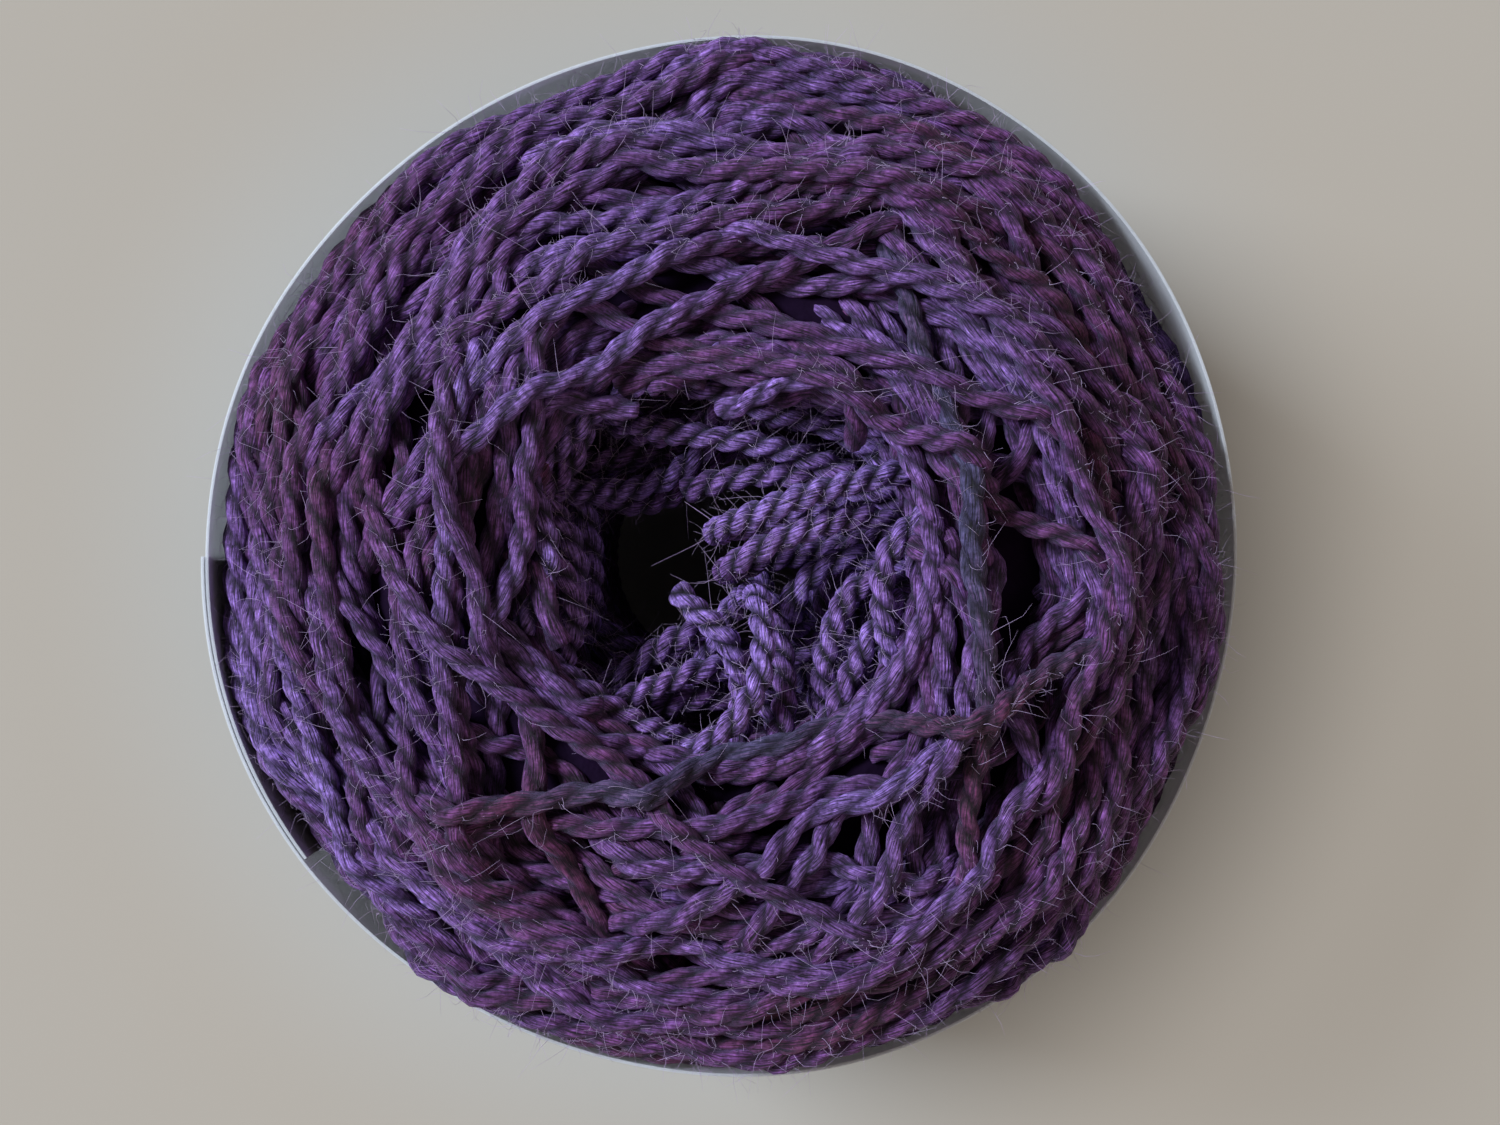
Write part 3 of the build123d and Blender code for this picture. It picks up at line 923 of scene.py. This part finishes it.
class YARN_OT_core(bpy.types.Operator):
    """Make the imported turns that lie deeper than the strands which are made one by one"""
    bl_idname = "yarn.core"
    bl_label = "Packed turns"

    def execute(self, context):
        """A closed surface of revolution: out along the foot, round the side a few strands below
        the outside, in over the crown and down the wall of the hole."""
        elevation = np.radians(np.linspace(-66, 54, 70))
        reach_in = plain_reach(elevation) - CORE_DEPTH
        outside = np.stack([reach_in * np.cos(elevation),
                            EQUATOR + reach_in * np.sin(elevation)], axis=1)
        height = np.linspace(outside[-1, 1], outside[0, 1], 40)[1:-1]
        wall = np.stack([wall_radius(height) + 1.9, height], axis=1)
        radius, height = np.concatenate([outside, wall]).T[..., None]
        around = np.arange(CORE_SIDES) * TURN / CORE_SIDES
        points = round_axis(radius, around, height)
        quads = tube_quads(len(height), CORE_SIDES, closed=True)
        piece = new_piece("packed_turns_painted_shade", points.reshape(-1, 3), quads, core_painted_shade_material(),
                          "ball")
        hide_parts("middle_wind")
        return {"FINISHED"}


class YARN_OT_wound(bpy.types.Operator):
    """Wind the visible layers of the ball, turn over turn, with their stray fibres"""
    bl_idname = "yarn.wound"
    bl_label = "Wound turns"

    def execute(self, context):
        yarn = settings()[0]
        strands, line, outward, depth = wound_strands(yarn)
        for piece in strand_pieces("outer_turns", strands):
            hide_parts("outer_wind")
        rng = np.random.default_rng(5)
        chosen = rng.choice(np.nonzero(depth < OPEN_DEPTH)[0], yarn.hair_count)
        aside = unit(outward[chosen] + 0.7 * rng.normal(size=(len(chosen), 3)))
        hair_pieces("outer_fibres", line[chosen] + aside * 0.7, outward[chosen], rng)
        return {"FINISHED"}


class YARN_OT_wall(bpy.types.Operator):
    """Coil the first layer round the wall of the hole"""
    bl_idname = "yarn.wall"
    bl_label = "Wall of the hole"

    def execute(self, context):
        yarn = settings()[0]
        strand, line, inward = wall_strands(yarn)
        for piece in strand_pieces("wall_turns", [strand]):
            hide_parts("inner_wind")
        rng = np.random.default_rng(6)
        chosen = rng.choice(np.nonzero(line[:, 2] > WALL_HAIRS_ABOVE)[0], WALL_HAIRS)
        hair_pieces("wall_fibres", line[chosen], inward[chosen], rng, longest=2.0)
        return {"FINISHED"}


class YARN_OT_loops(bpy.types.Operator):
    """Lay the slumped first turns in the crater, and the pull end, with their stray fibres"""
    bl_idname = "yarn.loops"
    bl_label = "Slumped loops"

    def execute(self, context):
        yarn = settings()[0]
        rng = np.random.default_rng(7)
        roots, away = [], []
        for name, routes in LOOPS.items():
            made = [loop_strand(route, yarn, rng) for route in routes]
            for piece in strand_pieces(name + "_plied", [strand for strand, _ in made]):
                if name in frame["nodes"]:
                    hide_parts(name)
            for _, line in made:
                chosen = rng.choice(len(line), int(len(line) * LOOP_HAIRS))
                direction = unit(rng.normal(size=(len(chosen), 3)) + [0, 0, 0.6])
                roots.append(line[chosen] + direction * 0.72)
                away.append(direction)
        hair_pieces("loop_fibres", np.concatenate(roots), np.concatenate(away), rng, longest=2.2)
        return {"FINISHED"}


class YARN_OT_band(bpy.types.Operator):
    """Wrap the paper band round the equator, lapped on itself"""
    bl_idname = "yarn.band"
    bl_label = "Paper band"

    def execute(self, context):
        """The strip runs from its outer cut end, over the lap, down a short ramp and once round to
        its inner cut end. Each station carries a thin closed section: up the inner face and down
        the outer one. Radius = layer + out-of-round + a slow waver of the upper edge."""
        band = settings()[1]
        thickness = band.thickness / MM
        angle = np.radians(np.linspace(*LAP_ENDS, BAND_STATIONS))
        lap = BAND_INSIDE + thickness + 0.1
        base = np.interp(np.degrees(angle), LAP_RAMP, [lap, BAND_INSIDE])
        rise = np.linspace(-1, 1, EDGE_POINTS)
        faces = np.repeat([0, thickness], EDGE_POINTS)
        heights = np.concatenate([rise, rise[::-1]])
        waver = 0.10 * np.sin(angle * 5 + 1) + 0.07 * np.sin(angle * 9 + 2)
        flare = np.clip(np.abs(heights) - 0.3, 0, None)[None] ** 2 * waver[:, None]
        radius = base[:, None] + faces[None] + out_of_round(angle)[:, None] + flare
        points = round_axis(radius, angle[:, None], EQUATOR + heights * BAND_HALF)
        ring = len(heights)
        lid = lid_quads(ring)
        quads = np.concatenate([tube_quads(BAND_STATIONS, ring), lid[:, ::-1],
                                (BAND_STATIONS - 1) * ring + lid])
        piece = new_piece("ball_band", points.reshape(-1, 3), quads, paper_material(band),
                          "band")
        piece.data.set_sharp_from_angle(angle=math.radians(50))
        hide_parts("paper_band")
        return {"FINISHED"}


class YARN_OT_paste(bpy.types.Operator):
    """Give the dab of paste in the lap its dried finish"""
    bl_idname = "yarn.paste"
    bl_label = "Paste"

    def execute(self, context):
        node = frame["nodes"]["band_glue"]
        node.data.materials.clear()
        node.data.materials.append(paste_material(settings()[1]))
        return {"FINISHED"}


FLOOR_EDGE = 1.5                # half the floor's side, metres
NEAR_FADE, FAR_FADE, NEAR_SHARE = (0.034, 0.060), (0.12, 0.45), 0.75

# Each lamp's place, size, power and colour.
LAMPS = {"key": ((-0.80, 0.34, 0.90), 0.42, 21.0, (0.74, 0.86, 1.0)),
         "fill": ((0.90, -0.45, 0.80), 0.80, 1.9, (1.0, 0.80, 0.62)),
         "back": ((-0.10, -0.90, 0.85), 0.80, 0.7, (1.0, 1.0, 1.0))}


class YARN_OT_stage(bpy.types.Operator):
    """Set the pale floor, the soft light and the camera looking straight down"""
    bl_idname = "yarn.stage"
    bl_label = "Stage"

    def execute(self, context):
        stage = settings()[2]
        scene = bpy.context.scene
        scene.view_settings.view_transform = "Standard"
        self.floor(stage)
        for name, lamp in LAMPS.items():
            self.lamp(name, *lamp)
        self.sky(stage)
        camera = placed("camera", bpy.data.cameras.new("camera"))
        camera.data.lens = 60
        camera.data.sensor_width = 36
        camera.location = (1.9 * MM, -0.4 * MM, stage.camera_height)
        camera.data.clip_start = 0.01
        scene.camera = camera
        return {"FINISHED"}

    def sky(self, stage):
        """Dim to the object, and as pale as the floor to the eye and in reflections."""
        world = bpy.data.worlds.new("studio")
        world.use_nodes = True
        tree = Tree(world=world)
        dim, pale = (tree.node("ShaderNodeBackground", None, {"Color": colour, "Strength": power})
                     for colour, power in (((0.80, 0.80, 0.82, 1), 0.12),
                                           (rgba(stage.floor), 1.0)))
        sky = tree.node("ShaderNodeMixShader", None, [seen_directly(tree), dim, pale])
        tree.finish(sky, "ShaderNodeOutputWorld")
        bpy.context.scene.world = world

    def floor(self, stage):
        """A wide level sheet with faint mottling. To the eye it goes over to its plain colour in
        two steps, NEAR_FADE and FAR_FADE from the ball's axis, in metres; the first step goes
        NEAR_SHARE of the way."""
        mesh = bpy.data.meshes.new("floor")
        edge = FLOOR_EDGE
        mesh.from_pydata([(-edge, -edge, 0), (edge, -edge, 0), (edge, edge, 0), (-edge, edge, 0)],
                         [], [(0, 1, 2, 3)])
        tree = Tree("floor_sheet")
        place = tree.node("ShaderNodeTexCoord", output="Object")
        colour = mixed(tree, noise(tree, place, 9.0), rgba(stage.floor), (0.54, 0.51, 0.46, 1.0))
        lit = tree.node("ShaderNodeBsdfPrincipled", None, {"Base Color": colour, "Roughness": 0.9})
        plain = tree.node("ShaderNodeEmission", None, {"Color": rgba(stage.floor), "Strength": 1.0})
        away = tree.node("ShaderNodeVectorMath", {"operation": "LENGTH"}, [place], output="Value")
        near, far = (tree.node("ShaderNodeMapRange", {"interpolation_type": "SMOOTHSTEP"},
                               {"Value": away, "From Min": start, "From Max": end})
                     for start, end in (NEAR_FADE, FAR_FADE))
        mesh.materials.append(tree.finish(tree.node(
            "ShaderNodeMixShader", None,
            [seen_directly(tree) * (far + near * NEAR_SHARE), lit, plain])))
        placed("floor", mesh)

    def lamp(self, name, place, size, power, colour):
        """A square area lamp aimed at the ball's crown."""
        data = bpy.data.lights.new(name, "AREA")
        data.size, data.energy, data.color = size, power, colour
        lamp = placed(name, data)
        lamp.location = place
        aim = np.array([0, 0, 0.04]) - np.array(place)
        lamp.rotation_euler = (math.acos(-aim[2] / np.linalg.norm(aim)), 0,
                               math.atan2(aim[1], aim[0]) - math.pi / 2)


class YARN_PT_panel(bpy.types.Panel):
    """Sizes, colours and the steps that build the ball"""
    bl_idname = "YARN_PT_panel"
    bl_label = "Yarn ball"
    bl_space_type = "VIEW_3D"
    bl_region_type = "UI"
    bl_category = "Yarn ball"

    def draw(self, context):
        for group in settings():
            for name in group.__annotations__:
                self.layout.prop(group, name)
        for step in STEPS:
            self.layout.operator(step.bl_idname)


STEPS = [YARN_OT_stage, YARN_OT_core, YARN_OT_wall, YARN_OT_wound, YARN_OT_loops, YARN_OT_band,
         YARN_OT_paste]
GROUPS = {"yarn_settings": YarnSettings, "band_settings": BandSettings,
          "stage_settings": StageSettings}


def register():
    for name, group in GROUPS.items():
        bpy.utils.register_class(group)
        setattr(bpy.types.Scene, name, bpy.props.PointerProperty(type=group))
    for cls in STEPS + [YARN_PT_panel]:
        bpy.utils.register_class(cls)


def unregister():
    for cls in STEPS + [YARN_PT_panel]:
        bpy.utils.unregister_class(cls)
    for name, group in GROUPS.items():
        delattr(bpy.types.Scene, name)
        bpy.utils.unregister_class(group)


def main():
    """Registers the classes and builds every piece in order."""
    register()
    yarn_material(settings()[0])
    hair_material(settings()[0])
    bpy.ops.yarn.stage()
    bpy.ops.yarn.core()
    bpy.ops.yarn.wall()
    bpy.ops.yarn.wound()
    bpy.ops.yarn.loops()
    bpy.ops.yarn.band()
    bpy.ops.yarn.paste()


if __name__ == "__main__":
    main()
